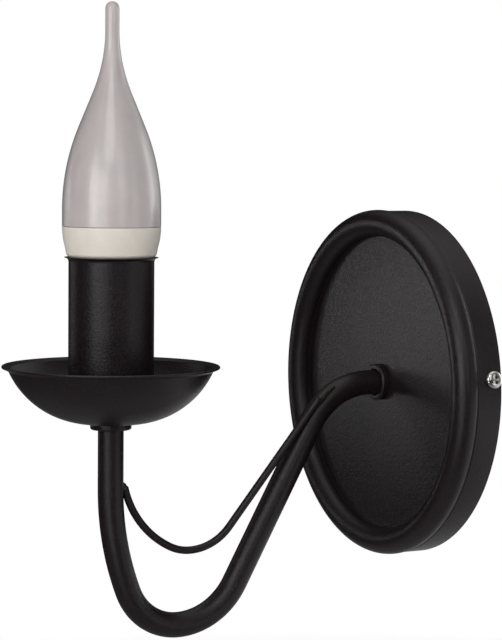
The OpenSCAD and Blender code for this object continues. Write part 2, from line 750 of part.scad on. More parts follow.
module bulb_contact() {
    color(brass) on_candle(contact_z) rotate_extrude() polygon([
        [0, 0], [1.8, 0], [2.4, 0.5], [2.4, contact_h], [0, contact_h]
    ]);
}

module bulb_insulator() {
    color([0.08, 0.08, 0.08]) on_candle(contact_z + contact_h) rotate_extrude() polygon([
        [0, 0], [3.2, 0], [cap_r - thread_depth - 0.6, insulator_h], [0, insulator_h]
    ]);
}

module bulb_cap() {
    wall = 0.4;
    root = cap_r - thread_depth;
    outer = crests(cap_r, thread_depth, cap_pitch, 1, cap_turns);
    inner = [for (i = [len(outer) - 1:-1:0]) outer[i] - [wall, 0]];
    color(zinc) on_candle(cap_z) rotate_extrude() polygon(concat(
        [[0, 0], [root - 0.6, 0], [root, 0.6]], outer,
        [[root, cap_h], [root - wall, cap_h]], inner,
        [[root - wall, 0.9], [0, 0.9]]
    ));
}

module bulb_collar() {
    neck_r = cap_r - thread_depth + thread_gap;
    mouth_r = sleeve_r - sleeve_t;
    mouth = [
        [mouth_r - lamp_gap - 0.8, lip_z - 2.6], [mouth_r - 0.2, lip_z - 0.4],
        [mouth_r + 1.2, lip_z + 0.5], [lamp_r - 1.65, lip_z + 0.1 * collar_show],
        [lamp_r - 1.15, lip_z + 0.32 * collar_show], [lamp_r - 0.4, lip_z + 0.58 * collar_show],
        [lamp_r, seam_z - seat_h]
    ];
    outside = concat([[neck_r, collar_z], [neck_r + 1.6, collar_z]],
        [[neck_r + 2.6, collar_z + 1], [mouth_r - 3, lip_z - 7]], mouth, [[lamp_r, seam_z]]);
    inside = [
        [lamp_r - envelope_t - slip, seam_z], [lamp_r - envelope_t - slip, seam_z - seat_h],
        [lamp_r - 3, seam_z - seat_h], [lamp_r - 4.6, lip_z + 2], [mouth_r - 4.6, lip_z - 5],
        [neck_r + 1, collar_z + 2.4], [neck_r, collar_z + 2.4]
    ];
    color([0.86, 0.84, 0.80]) on_candle(0) rotate_extrude() polygon(concat(outside, inside));
}

// Outline of the envelope as [radius, height] points, from its seam to its tip
function envelope_points() = concat(
    [[lamp_r, seam_z + 0.2]],
    arc([lamp_r - barrel_curve_r, barrel_z], barrel_curve_r, 0, shoulder_angle, 18),
    arc([tip_r + tip_curve_r, tip_curve_z], tip_curve_r, 180 + shoulder_angle, 180, 14),
    arc([0, seam_z + envelope_h - tip_r], tip_r, 0, 90, 8)
);

module bulb_envelope() {
    outer = envelope_points();
    inner = [for (i = [len(outer) - 1:-1:0]) if (outer[i].x > 3 * envelope_t) outer[i] - [envelope_t, 0]];
    color([0.90, 0.88, 0.87]) on_candle(0) rotate_extrude() polygon(concat(
        [[lamp_r - envelope_t - 2 * slip, seam_z - seat_h], [lamp_r - envelope_t - 2 * slip, seam_z + 0.2]],
        outer, [[0, inner[0].y + 2]], inner,
        [[lamp_r - 2 * envelope_t - 2 * slip, seam_z - seat_h]]
    ));
}

module driver_board() {
    board = [cap_d * 0.72, 1.2, seam_z - cap_z - board_low - board_gap];
    chip = [board.x / 2, 2.6, 4];
    color("darkgreen") on_candle(cap_z + board_low) {
        translate([-board.x / 2, -board.y / 2, 0]) cube(board);
        for (h = [0.15, 0.36]) translate([-chip.x / 2, board.y / 2, h * board.z]) cube(chip);
        translate([0, board.y / 2, 0.68 * board.z]) rotate([-90, 0, 0]) cylinder(d = chip.z, h = chip.y);
    }
}

module led_board() {
    color("white") on_candle(seam_z - seat_h - 1.2) cylinder(r = lamp_r - 3.4, h = 1.2);
}

module led_chips() {
    color("khaki") on_candle(seam_z - seat_h) for (a = [0:45:315]) rotate([0, 0, a])
        translate([lamp_r * 0.5, 0, 0.35]) cube([3.5, 2.8, 0.7], center = true);
}

wall_plate();
wall_bracket();
side_screws();
earth_screw();
earth_tags();
terminal_block();
terminal_clamps();
terminal_screws();
arm_tube();
accent_rod();
rod_welds();
arm_collar();
arm_lock_washer();
arm_lock_nut();
lead_bush();
bowl_washer();
drip_bowl();
sleeve_spacer();
candle_sleeve();
stack_nut();
holder_bush();
holder_bracket();
holder_body();
holder_shell();
holder_contact();
holder_screws();
lead_live();
lead_neutral();
lead_earth();
bulb_contact();
bulb_insulator();
bulb_cap();
bulb_collar();
bulb_envelope();
driver_board();
led_board();
led_chips();
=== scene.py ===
import bpy
import bmesh
import json
import math
from mathutils import Matrix, Vector


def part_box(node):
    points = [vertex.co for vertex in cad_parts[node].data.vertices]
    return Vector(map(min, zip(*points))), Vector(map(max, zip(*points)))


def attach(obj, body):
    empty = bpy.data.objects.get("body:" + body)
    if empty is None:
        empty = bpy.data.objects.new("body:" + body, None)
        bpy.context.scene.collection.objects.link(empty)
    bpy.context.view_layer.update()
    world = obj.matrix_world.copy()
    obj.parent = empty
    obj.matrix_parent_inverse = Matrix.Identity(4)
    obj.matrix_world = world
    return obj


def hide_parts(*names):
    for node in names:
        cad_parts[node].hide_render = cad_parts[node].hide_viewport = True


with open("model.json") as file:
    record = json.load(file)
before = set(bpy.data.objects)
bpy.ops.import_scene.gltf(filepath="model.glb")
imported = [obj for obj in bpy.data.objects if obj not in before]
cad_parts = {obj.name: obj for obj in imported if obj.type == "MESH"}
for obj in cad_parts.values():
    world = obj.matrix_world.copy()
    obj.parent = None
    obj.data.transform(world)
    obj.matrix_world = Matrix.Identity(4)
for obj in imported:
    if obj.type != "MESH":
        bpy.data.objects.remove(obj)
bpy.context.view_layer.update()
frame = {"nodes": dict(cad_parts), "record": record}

# Candle-style wall sconce: a round beaded wall plate, a bent tube arm with a thin rod inside its U,
# a drip bowl, a candle sleeve and a screw-in flame-tip lamp. Sizes are in millimetres, as on a
# drawing, and become metres where a mesh is made. The wall is the plane Y = 0 and Z points up.
imageSize = (502, 640)
perMm = 0.001


# Small helpers

def linearColour(hexCode):
    channels = [int(hexCode[i:i + 2], 16) / 255 for i in (1, 3, 5)]
    return [c / 12.92 if c <= 0.04045 else ((c + 0.055) / 1.055) ** 2.4 for c in channels] + [1]


def addNode(tree, kind, settings=None, links=None):
    node = tree.nodes.new(kind)
    for name, value in (settings or {}).items():
        if isinstance(name, str) and hasattr(node, name):
            setattr(node, name, value)
        else:
            node.inputs[name].default_value = value
    for name, socket in (links or {}).items():
        tree.links.new(socket, node.inputs[name])
    return node


def boxInMm(node):
    low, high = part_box(node)
    return [c / perMm for c in low], [c / perMm for c in high]


def arcPoints(centre, radius, start, end, steps):
    return [(centre[0] + radius * math.cos(math.radians(start + (end - start) * i / steps)),
             centre[1] + radius * math.sin(math.radians(start + (end - start) * i / steps)))
            for i in range(steps + 1)]


def onWall(x, y, h):
    return (x, -h, y)       # turned pieces stand on the wall with their height along -Y


def onCandle(x, y, h):
    return (x, candleY + y, h)


bodyOf = {node: body for body, nodes in frame["record"]["behaviour"]["bodies"].items() for node in nodes}


# Puts a piece in the place of a CAD node, with that node's body, and gives it one slot with the given finish
def newPiece(name, mesh, material, node):
    piece = bpy.data.objects.new(name, mesh)
    bpy.context.scene.collection.objects.link(piece)
    mesh.materials.clear()
    mesh.materials.append(material)
    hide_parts(node)
    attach(piece, bodyOf[node])
    return piece


def smoothed(mesh, angle=38):
    mesh.polygons.foreach_set("use_smooth", [True] * len(mesh.polygons))
    mesh.set_sharp_from_angle(angle=math.radians(angle))
    return mesh


def meshFrom(bm, name, angle=38):
    bmesh.ops.recalc_face_normals(bm, faces=bm.faces)
    mesh = bpy.data.meshes.new(name)
    bm.to_mesh(mesh)
    bm.free()
    return smoothed(mesh, angle)


# A closed outline of (radius, height) with each corner over 20 degrees rounded by a small arc
def rounded(outline, radius, steps=4):
    count = len(outline)
    points = []
    for i, corner in enumerate(outline):
        here = Vector(corner)
        back = Vector(outline[i - 1]) - here
        ahead = Vector(outline[(i + 1) % count]) - here
        if corner[0] < 1e-6 or min(back.length, ahead.length) < 1e-6:
            points.append(tuple(here))
            continue
        turn = math.pi - back.angle(ahead)
        reach = min(radius * math.tan(turn / 2), 0.45 * back.length, 0.45 * ahead.length)
        if turn < math.radians(20) or reach < 1e-4:
            points.append(tuple(here))
            continue
        first, last = here + back.normalized() * reach, here + ahead.normalized() * reach
        for k in range(steps + 1):
            t = k / steps
            points.append(tuple(first * (1 - t) ** 2 + here * 2 * t * (1 - t) + last * t ** 2))
    return points


# Turns a closed outline round an axis. place puts x, y and height into the frame
def turned(name, outline, place, sides=128, angle=38):
    bm = bmesh.new()
    rings = []
    for radius, height in outline:
        if radius < 1e-6:
            rings.append([bm.verts.new(place(0, 0, height))] * sides)
            continue
        rings.append([bm.verts.new(place(radius * math.cos(2 * math.pi * k / sides),
                                         radius * math.sin(2 * math.pi * k / sides), height))
                      for k in range(sides)])
    for i, ring in enumerate(rings):
        other = rings[(i + 1) % len(rings)]
        for k in range(sides):
            corners = [ring[k], ring[(k + 1) % sides], other[(k + 1) % sides], other[k]]
            corners = list(dict.fromkeys(corners))
            if len(corners) > 2:
                bm.faces.new(corners)
    bmesh.ops.scale(bm, vec=(perMm,) * 3, verts=bm.verts)
    return meshFrom(bm, name, angle)


# A Geometry Nodes tree with named inputs. Returns the tree, its input node and its output node
def startTree(name, inputs):
    tree = bpy.data.node_groups.new(name, "GeometryNodeTree")
    tree.is_modifier = True
    tree.interface.new_socket("Geometry", in_out="OUTPUT", socket_type="NodeSocketGeometry")
    tree.interface.new_socket("Geometry", in_out="INPUT", socket_type="NodeSocketGeometry")
    for label, kind in inputs.items():
        tree.interface.new_socket(label, in_out="INPUT", socket_type="NodeSocket" + kind)
    return tree, tree.nodes.new("NodeGroupInput"), tree.nodes.new("NodeGroupOutput")


def endTree(tree, geometry, material, output):
    real = addNode(tree, "GeometryNodeRealizeInstances", {}, {"Geometry": geometry})
    painted = addNode(tree, "GeometryNodeSetMaterial", {},
                      {"Geometry": real.outputs["Geometry"], "Material": material})
    tree.links.new(painted.outputs["Geometry"], output.inputs["Geometry"])
    return tree


# Runs a tree on a carrier mesh of points and edges, and gives the plain mesh that it makes
def grown(name, points, tree, values, edges=True, angle=38):
    carrier = bpy.data.meshes.new(name)
    joints = [(i, i + 1) for i in range(len(points) - 1)] if edges else []
    carrier.from_pydata([Vector(p) * perMm for p in points], joints, [])
    holder = bpy.data.objects.new(name, carrier)
    bpy.context.scene.collection.objects.link(holder)
    modifier = holder.modifiers.new("grow", "NODES")
    modifier.node_group = tree
    for item in tree.interface.items_tree:
        if item.in_out == "INPUT" and item.name in values:
            modifier[item.identifier] = values[item.name]
    mesh = bpy.data.meshes.new_from_object(holder.evaluated_get(bpy.context.evaluated_depsgraph_get()))
    holder.modifiers.remove(modifier)
    bpy.data.objects.remove(holder)
    bpy.data.meshes.remove(carrier)
    return smoothed(mesh, angle)


# A copy of a CAD node's mesh with its doubles merged and its edges broken by a small bevel
def softened(node, width, angle=35, segments=2):
    bm = bmesh.new()
    bm.from_mesh(frame["nodes"][node].data)
    bmesh.ops.remove_doubles(bm, verts=bm.verts, dist=1e-6)
    bmesh.ops.dissolve_limit(bm, angle_limit=math.radians(0.5), verts=bm.verts, edges=bm.edges)
    mesh = bpy.data.meshes.new(node + "Soft")
    bm.to_mesh(mesh)
    bm.free()
    holder = bpy.data.objects.new("holder", mesh)
    bpy.context.scene.collection.objects.link(holder)
    bevel = holder.modifiers.new("bevel", "BEVEL")
    bevel.width = width * perMm
    bevel.segments = segments
    bevel.angle_limit = math.radians(angle)
    made = bpy.data.meshes.new_from_object(holder.evaluated_get(bpy.context.evaluated_depsgraph_get()))
    bpy.data.objects.remove(holder)
    bpy.data.meshes.remove(mesh)
    return smoothed(made, 40)


# Materials

def newMaterial(name):
    material = bpy.data.materials.new(name)
    material.use_nodes = True
    tree = material.node_tree
    place = addNode(tree, "ShaderNodeTexCoord").outputs["Object"]
    return material, tree, tree.nodes["Principled BSDF"], place


def setShader(shader, values):
    for name, value in values.items():
        shader.inputs[name].default_value = value


# Noise whose features are about sizeMm across on the piece
def grain(tree, place, sizeMm, detail=2, stretch=None):
    if stretch:
        place = addNode(tree, "ShaderNodeMapping", {"Scale": stretch}, {"Vector": place}).outputs["Vector"]
    return addNode(tree, "ShaderNodeTexNoise", {"Scale": 1 / (sizeMm * perMm), "Detail": detail},
                   {"Vector": place}).outputs["Fac"]


def ranged(tree, value, low, high, toLow, toHigh):
    return addNode(tree, "ShaderNodeMapRange", {"From Min": low, "From Max": high, "To Min": toLow,
                                                "To Max": toHigh}, {"Value": value}).outputs["Result"]


def twoTone(tree, factor, first, second):
    ramp = addNode(tree, "ShaderNodeValToRGB", {}, {"Fac": factor})
    ramp.color_ramp.elements[0].color = linearColour(first)
    ramp.color_ramp.elements[1].color = linearColour(second)
    ramp.color_ramp.elements[0].position = 0.3
    ramp.color_ramp.elements[1].position = 0.7
    return ramp.outputs["Color"]


def bumped(tree, shader, height, depthMm, strength=1.0):
    bump = addNode(tree, "ShaderNodeBump", {"Distance": depthMm * perMm, "Strength": strength},
                   {"Height": height})
    tree.links.new(bump.outputs["Normal"], shader.inputs["Normal"])


# Powder coat: sprayed polyester baked on steel. It is near black and satin, and its fine orange peel
# sparkles where a lamp is reflected. A grain of about 0.3 mm is usual, and it is drawn at 0.9 mm so that
# it shows. Over the welds the coat is painted paler, as a painted highlight on the weld beads.
powderCoat = {"grainMm": 0.9, "peelMm": 3.2, "depthMm": 0.09, "dark": "#150d11", "light": "#1e1419",
              "smooth": 0.33, "rough": 0.43, "peelShare": 0.35, "weldHighlightDark": "#1e1818",
              "weldHighlightLight": "#322a28"}


def makePowderCoat(name, dark, light):
    material, tree, shader, place = newMaterial(name)
    fine = grain(tree, place, powderCoat["grainMm"], 3)
    peel = grain(tree, place, powderCoat["peelMm"], 2)
    height = addNode(tree, "ShaderNodeMath", {"operation": "MULTIPLY_ADD", 1: powderCoat["peelShare"]},
                     {0: peel, 2: fine}).outputs["Value"]
    tree.links.new(twoTone(tree, fine, dark, light), shader.inputs["Base Color"])
    tree.links.new(ranged(tree, fine, 0.35, 0.65, powderCoat["smooth"], powderCoat["rough"]),
                   shader.inputs["Roughness"])
    setShader(shader, {"IOR": 1.5, "Specular IOR Level": 0.46})
    bumped(tree, shader, height, powderCoat["depthMm"])
    return material


# Zinc plate on cold-rolled strip: a cool grey metal with faint rolling lines and a patchy tint
def makeZinc():
    material, tree, shader, place = newMaterial("bright zinc plate")
    lines = grain(tree, place, 0.9, 3, (0.06, 1, 1))
    patches = grain(tree, place, 6, 2)
    tree.links.new(twoTone(tree, patches, "#b3b6b4", "#c9cac3"), shader.inputs["Base Color"])
    tree.links.new(ranged(tree, lines, 0.3, 0.7, 0.24, 0.4), shader.inputs["Roughness"])
    setShader(shader, {"Metallic": 1.0})
    bumped(tree, shader, lines, 0.01)
    return material


# Nickel plate on a pan-head screw: bright and mirror-like, with fine marks
def makeNickel():
    material, tree, shader, place = newMaterial("bright nickel plate")
    marks = grain(tree, place, 0.4, 2)
    tree.links.new(ranged(tree, marks, 0.3, 0.7, 0.1, 0.2), shader.inputs["Roughness"])
    setShader(shader, {"Base Color": linearColour("#d8d6d2"), "Metallic": 1.0})
    bumped(tree, shader, marks, 0.006)
    return material


# Nickel-plated brass of a lamp cap: thin rolled sheet, a warmer and duller grey than the screws
def makeNickelCap():
    material, tree, shader, place = newMaterial("nickel-plated lamp cap")
    dull = grain(tree, place, 1.5, 3)
    tree.links.new(twoTone(tree, dull, "#b9b5ac", "#cbc8c1"), shader.inputs["Base Color"])
    tree.links.new(ranged(tree, dull, 0.3, 0.7, 0.2, 0.34), shader.inputs["Roughness"])
    setShader(shader, {"Metallic": 1.0})
    bumped(tree, shader, dull, 0.008)
    return material


# Plain brass: stamped and turned parts, warm yellow and slightly dulled by handling
def makeBrass():
    material, tree, shader, place = newMaterial("stamped brass")
    dull = grain(tree, place, 2.5, 3)
    tree.links.new(twoTone(tree, dull, "#b8924c", "#d3b067"), shader.inputs["Base Color"])
    tree.links.new(ranged(tree, dull, 0.3, 0.7, 0.22, 0.38), shader.inputs["Roughness"])
    setShader(shader, {"Metallic": 1.0})
    bumped(tree, shader, grain(tree, place, 0.5, 2), 0.006)
    return material


# One recipe for the plastics, the glaze, the boards' coats and the leads, each with its colours and gloss
def makeMoulded(name, first, second, roughness, grainMm, depthMm, extra=None):
    material, tree, shader, place = newMaterial(name)
    cloud = grain(tree, place, 8 * grainMm, 2)
    tree.links.new(twoTone(tree, cloud, first, second), shader.inputs["Base Color"])
    tree.links.new(ranged(tree, cloud, 0.3, 0.7, roughness - 0.04, roughness + 0.04),
                   shader.inputs["Roughness"])
    setShader(shader, {"IOR": 1.5, **(extra or {})})
    bumped(tree, shader, grain(tree, place, grainMm, 2), depthMm)
    return material


# Frosted envelope: blown polycarbonate, milky grey, with a smooth skin over the frost
frosted = {"cool": "#c6bdbd", "warm": "#cec5c3", "roughness": 0.34, "skin": 0.2, "milk": 0.25,
           "milkMm": 3}


def makeFrosted():
    material, tree, shader, place = newMaterial("frosted polycarbonate")
    cloud = grain(tree, place, 9, 2)
    tree.links.new(twoTone(tree, cloud, frosted["cool"], frosted["warm"]), shader.inputs["Base Color"])
    tree.links.new(ranged(tree, grain(tree, place, 1.4, 2), 0.3, 0.7, frosted["roughness"] - 0.04,
                          frosted["roughness"] + 0.04), shader.inputs["Roughness"])
    setShader(shader, {"IOR": 1.58, "Coat Weight": 1.0, "Coat Roughness": frosted["skin"],
                       "Subsurface Weight": frosted["milk"], "Subsurface Radius": (1, 0.9, 0.8),
                       "Subsurface Scale": frosted["milkMm"] * perMm})
    bumped(tree, shader, grain(tree, place, 0.7, 2), 0.006)
    return material


paint = makePowderCoat("satin black powder coat", powderCoat["dark"], powderCoat["light"])
# The weld beads' coat is painted paler than the rest: a painted highlight
weldHighlightPaint = makePowderCoat("powder coat over weld metal painted paler as a highlight", powderCoat["weldHighlightDark"],
                           powderCoat["weldHighlightLight"])
zinc = makeZinc()
nickel = makeNickel()
brass = makeBrass()
envelopeFinish = makeFrosted()
collarFinish = makeMoulded("off-white moulded polycarbonate", "#e6dfd4", "#ebe4d9", 0.42, 0.6, 0.008)
ivory = makeMoulded("ivory polyamide", "#cfc8b4", "#d9d3c1", 0.4, 0.5, 0.01)
phenolic = makeMoulded("black phenolic", "#17140f", "#221d18", 0.3, 0.5, 0.008)
nickelCap = makeNickelCap()
insulator = makeMoulded("black glazed insulator", "#101014", "#17171c", 0.15, 1.0, 0.01)
circuitGreen = makeMoulded("green solder resist", "#0f4a2a", "#14603a", 0.35, 0.4, 0.006)
boardWhite = makeMoulded("white solder resist", "#d9d9d6", "#e4e4e1", 0.4, 0.4, 0.006)
phosphor = makeMoulded("yellow phosphor", "#d8b43a", "#e4c556", 0.35, 0.3, 0.006)
leadFinishes = {
    "lead_live": makeMoulded("brown PVC", "#5b3521", "#6b412a", 0.38, 0.4, 0.01),
    "lead_neutral": makeMoulded("blue PVC", "#28589c", "#3468ad", 0.38, 0.4, 0.01),
    "lead_earth": makeMoulded("green PVC", "#5f8f2a", "#73a334", 0.38, 0.4, 0.01),
}
print("materials: done")


# Camera, lamps and stage

# The photograph's view, fitted to the outline of the whole object. Lengths are in mm
cameraView = {"azimuth": 61.9, "elevation": 4.09, "roll": 0.468, "distance": 927.5,
              "focalPixels": 2336.8, "target": (0, -72.57, 26.95), "sensorMm": 36}


def cameraAxes(azimuth, elevation, roll):
    a, e, r = (math.radians(v) for v in (azimuth, elevation, roll))
    back = Vector((math.sin(a) * math.cos(e), -math.cos(a) * math.cos(e), math.sin(e)))
    right = Vector((math.cos(a), math.sin(a), 0))
    up = back.cross(right)
    return right * math.cos(r) + up * math.sin(r), up * math.cos(r) - right * math.sin(r), back


def addCamera():
    right, up, back = cameraAxes(cameraView["azimuth"], cameraView["elevation"], cameraView["roll"])
    lens = bpy.data.cameras.new("photoLens")
    lens.sensor_width = cameraView["sensorMm"]
    lens.lens = cameraView["focalPixels"] / max(imageSize) * cameraView["sensorMm"]
    lens.clip_start = 0.02
    lens.clip_end = 20
    camera = bpy.data.objects.new("photoCamera", lens)
    spot = Vector(cameraView["target"]) * perMm + back * cameraView["distance"] * perMm
    camera.matrix_world = Matrix.Translation(spot) @ Matrix((right, up, back)).transposed().to_4x4()
    bpy.context.scene.collection.objects.link(camera)
    bpy.context.scene.camera = camera


# Each lamp stands at an angle left of the photograph's camera and at a height angle, and faces a point.
# The soft boxes draw the highlights, and the two spots light the plate's disc past the arm. Lengths here
# are in metres
middle = (0, -0.07, 0)
armRoot = (0.01, 0, 0.03)
discPatch = (0.042, -0.014, 0.017)
lamps = {
    "keyBox": {"left": 29, "up": 11, "distance": 0.95, "size": (0.7, 0.4), "watts": 1.95, "faces": middle},
    "highBox": {"left": 7, "up": 40, "distance": 0.95, "size": (0.4, 0.4), "watts": 1.1, "faces": middle},
    "leftBox": {"left": 42, "up": 12, "distance": 0.9, "size": (0.25, 0.7), "watts": 0.63, "faces": middle},
    "rightBox": {"left": -23, "up": 20, "distance": 0.9, "size": (0.25, 0.6), "watts": 0.53, "faces": middle},
    "lowBox": {"left": 22, "up": -20, "distance": 0.6, "size": (0.3, 0.1), "watts": 0.21, "faces": middle},
    "rimStrip": {"left": -113, "up": 5, "distance": 0.9, "size": (0.3, 0.8), "watts": 1.1, "faces": middle},
    "wallPanel": {"left": 111, "up": 2, "distance": 0.54, "size": (0.2, 0.3), "watts": 0.06,
                  "faces": armRoot},
    "sideStrip": {"left": -56, "up": 5, "distance": 0.9, "size": (0.2, 0.8), "watts": 0.35, "faces": middle},
    "wideSpot": {"left": 112, "up": 6, "distance": 0.6, "cone": 18, "soft": 0.06, "watts": 0.72,
                 "faces": discPatch},
    "tightSpot": {"left": 124, "up": -4, "distance": 0.6, "cone": 12, "soft": 0.06, "watts": 0.44,
                  "faces": discPatch},
}


def addLamps():
    for name, values in lamps.items():
        side = math.radians(cameraView["azimuth"] - values["left"])
        up = math.radians(values["up"])
        away = Vector((math.sin(side) * math.cos(up), -math.cos(side) * math.cos(up), math.sin(up)))
        light = bpy.data.lights.new(name, "SPOT" if "cone" in values else "AREA")
        if "cone" in values:
            light.spot_size = math.radians(values["cone"])
            light.spot_blend = 1
            light.shadow_soft_size = values["soft"]
        else:
            light.shape = "RECTANGLE"
            light.size, light.size_y = values["size"]
        light.energy = values["watts"]
        lamp = bpy.data.objects.new(name, light)
        lamp.location = Vector(values["faces"]) + away * values["distance"]
        lamp.rotation_euler = away.to_track_quat("Z", "Y").to_euler()
        lamp.visible_camera = False
        bpy.context.scene.collection.objects.link(lamp)


# The floor is placed in mm, and its tones change at distances in metres
studio = {"floorZ": -260, "floorRadius": 1400, "fadeFrom": 0.25, "fadeTo": 0.75, "ambient": 0.3,
          "behind": 1.0, "behindFocus": 6, "above": 1.0, "aboveFocus": 4, "backdropGlowFrom": -0.1,
          "backdropGlowTo": 0.35, "backdropGlowPale": 0.7, "pool": 0.26, "poolFrom": 0.1, "poolEdge": 0.6, "dark": 0.04}


# A soft patch of light round one direction: full strength along it, and sooner dark with a greater focus
def softPatch(tree, height, focus, strength):
    front = addNode(tree, "ShaderNodeMath", {"operation": "MAXIMUM", 1: 0.0}, {0: height})
    narrow = addNode(tree, "ShaderNodeMath", {"operation": "POWER", 1: focus}, {0: front.outputs["Value"]})
    return addNode(tree, "ShaderNodeMath", {"operation": "MULTIPLY", 1: strength},
                   {0: narrow.outputs["Value"]}).outputs["Value"]


# The camera and clear pieces see a white world. Shiny pieces mirror a white backdrop behind the wall and a
# white ceiling, with the dark of the studio between them
def addStage():
    scene = bpy.context.scene
    scene.view_settings.view_transform = "Standard"
    world = bpy.data.worlds.new("paleStudio")
    scene.world = world
    world.use_nodes = True
    tree = world.node_tree
    ambient = tree.nodes["Background"]
    ambient.inputs["Color"].default_value = (1, 1, 1, 1)
    ambient.inputs["Strength"].default_value = studio["ambient"]
    facing = addNode(tree, "ShaderNodeSeparateXYZ", {},
                     {0: addNode(tree, "ShaderNodeTexCoord").outputs["Generated"]})
    patches = addNode(tree, "ShaderNodeMath", {"operation": "ADD"}, {
        0: softPatch(tree, facing.outputs["Y"], studio["behindFocus"], studio["behind"]),
        1: softPatch(tree, facing.outputs["Z"], studio["aboveFocus"], studio["above"])})
    mirrored = addNode(tree, "ShaderNodeBackground", {"Color": (1, 1, 1, 1)},
                       {"Strength": patches.outputs["Value"]})
    white = addNode(tree, "ShaderNodeBackground", {"Color": (1, 1, 1, 1), "Strength": 1.0})
    rays = addNode(tree, "ShaderNodeLightPath")
    lit = addNode(tree, "ShaderNodeMixShader", {}, {0: rays.outputs["Is Glossy Ray"], 1: ambient.outputs[0],
                                                  2: mirrored.outputs[0]})
    seen = addNode(tree, "ShaderNodeMath", {"operation": "MAXIMUM"},
                   {0: rays.outputs["Is Camera Ray"], 1: rays.outputs["Is Transmission Ray"]})
    mix = addNode(tree, "ShaderNodeMixShader", {}, {0: seen.outputs["Value"], 1: lit.outputs[0],
                                                  2: white.outputs[0]})
    tree.links.new(mix.outputs[0], tree.nodes["World Output"].inputs["Surface"])
    addFloor()


# The floor fades to white round the object's shadow. Glossy rays see it glowing, not lit: painted light that
# the paint mirrors, dark in front, a painted pool of light below the object, and paler towards the backdrop
def addFloor():
    bm = bmesh.new()
    bmesh.ops.create_circle(bm, cap_ends=True, segments=64, radius=studio["floorRadius"] * perMm,
                            matrix=Matrix.Translation((0, 0, studio["floorZ"] * perMm)))
    mesh = bpy.data.meshes.new("paleFloor")
    bm.to_mesh(mesh)
    bm.free()
    floor = bpy.data.objects.new("paleFloor", mesh)
    bpy.context.scene.collection.objects.link(floor)
    material, tree, shader, place = newMaterial("pale paper floor")
    setShader(shader, {"Base Color": linearColour("#ececec"), "Roughness": 0.8})
    glow = addNode(tree, "ShaderNodeEmission", {"Strength": 1.0})
    flat = addNode(tree, "ShaderNodeVectorMath", {"operation": "MULTIPLY", 1: (1, 1, 0)}, {0: place})
    spread = addNode(tree, "ShaderNodeVectorMath", {"operation": "LENGTH"}, {0: flat.outputs["Vector"]})
    fade = ranged(tree, spread.outputs["Value"], studio["fadeFrom"], studio["fadeTo"], 0, 1)
    rays = addNode(tree, "ShaderNodeLightPath")
    seen = addNode(tree, "ShaderNodeMath", {"operation": "MAXIMUM"},
                   {0: rays.outputs["Is Camera Ray"], 1: rays.outputs["Is Transmission Ray"]})
    share = addNode(tree, "ShaderNodeMath", {"operation": "MULTIPLY"}, {0: fade, 1: seen.outputs["Value"]})
    mix = addNode(tree, "ShaderNodeMixShader", {}, {0: share.outputs["Value"], 1: shader.outputs["BSDF"],
                                                  2: glow.outputs["Emission"]})
    # Painted light for glossy rays: the floor glows paler towards the backdrop and in a pool below the object
    depth = addNode(tree, "ShaderNodeSeparateXYZ", {}, {0: place}).outputs["Y"]
    sweep = ranged(tree, depth, studio["backdropGlowFrom"], studio["backdropGlowTo"], 0, studio["backdropGlowPale"])
    pool = ranged(tree, spread.outputs["Value"], studio["poolFrom"], studio["poolEdge"], studio["pool"],
                  studio["dark"])
    brighter = addNode(tree, "ShaderNodeMath", {"operation": "MAXIMUM"}, {0: sweep, 1: pool})
    pale = addNode(tree, "ShaderNodeEmission", {}, {"Strength": brighter.outputs["Value"]})
    both = addNode(tree, "ShaderNodeMixShader", {}, {0: rays.outputs["Is Glossy Ray"], 1: mix.outputs[0],
                                                   2: pale.outputs["Emission"]})
    tree.links.new(both.outputs[0], tree.nodes["Material Output"].inputs["Surface"])
    mesh.materials.append(material)


addCamera()
addLamps()
addStage()
print("camera, lamps and stage: done")


# Places from the frame

bowlLow, bowlHigh = boxInMm("drip_bowl")
sleeveLow, sleeveHigh = boxInMm("candle_sleeve")
candleY = (sleeveLow[1] + sleeveHigh[1]) / 2
sleeveZ, lipZ = sleeveLow[2], sleeveHigh[2]
seamZ = boxInMm("bulb_collar")[1][2]
tipZ = boxInMm("bulb_envelope")[1][2]


# Wall plate

plate = {"radius": 70, "wall": 1, "beadHeight": 13.3, "beadRadius": 5.4, "beadOut": 0.4, "discDrop": 1.3,
         "domeRise": 0.4, "seat": 9, "bore": 5.15, "creaseAngle": -28}


def makePlate():
    beadR = plate["radius"] + plate["beadOut"] - plate["beadRadius"]
    bead = (beadR, plate["beadHeight"])
    discAngle = 180 + math.degrees(math.asin(plate["discDrop"] / plate["beadRadius"]))
    discR = beadR + plate["beadRadius"] * math.cos(math.radians(discAngle))
    centreH = plate["beadHeight"] - plate["discDrop"] + plate["domeRise"]
    dome = [(discR - (discR - plate["seat"]) * i / 14, centreH - plate["domeRise"] * (1 - i / 14) ** 2)
            for i in range(15)]
    inner = plate["beadRadius"] - plate["wall"]
    boreEnd = -math.degrees(math.acos((plate["radius"] - plate["wall"] - beadR) / inner))
    boreStart = 180 + math.degrees(math.asin((plate["discDrop"] + plate["wall"]) / inner))
    creaseH = plate["beadHeight"] + plate["beadRadius"] * math.sin(math.radians(plate["creaseAngle"]))
    outside = [(plate["radius"], 0), (plate["radius"], creaseH - 0.4)]
    outside += arcPoints(bead, plate["beadRadius"], plate["creaseAngle"], discAngle, 40)
    outside += dome[1:] + [(plate["bore"], centreH)]
    inside = [(plate["bore"], centreH - plate["wall"])] + [(r, h - plate["wall"]) for r, h in dome[:0:-1]]
    inside += arcPoints(bead, inner, boreStart, boreEnd, 28) + [(plate["radius"] - plate["wall"], 0)]
    mesh = turned("wallPlate", rounded(outside + inside, 0.25), onWall, 256)
    newPiece("wallPlate", mesh, paint, "wall_plate")


makePlate()
print("wall plate: done")


# Arm, rod and welds

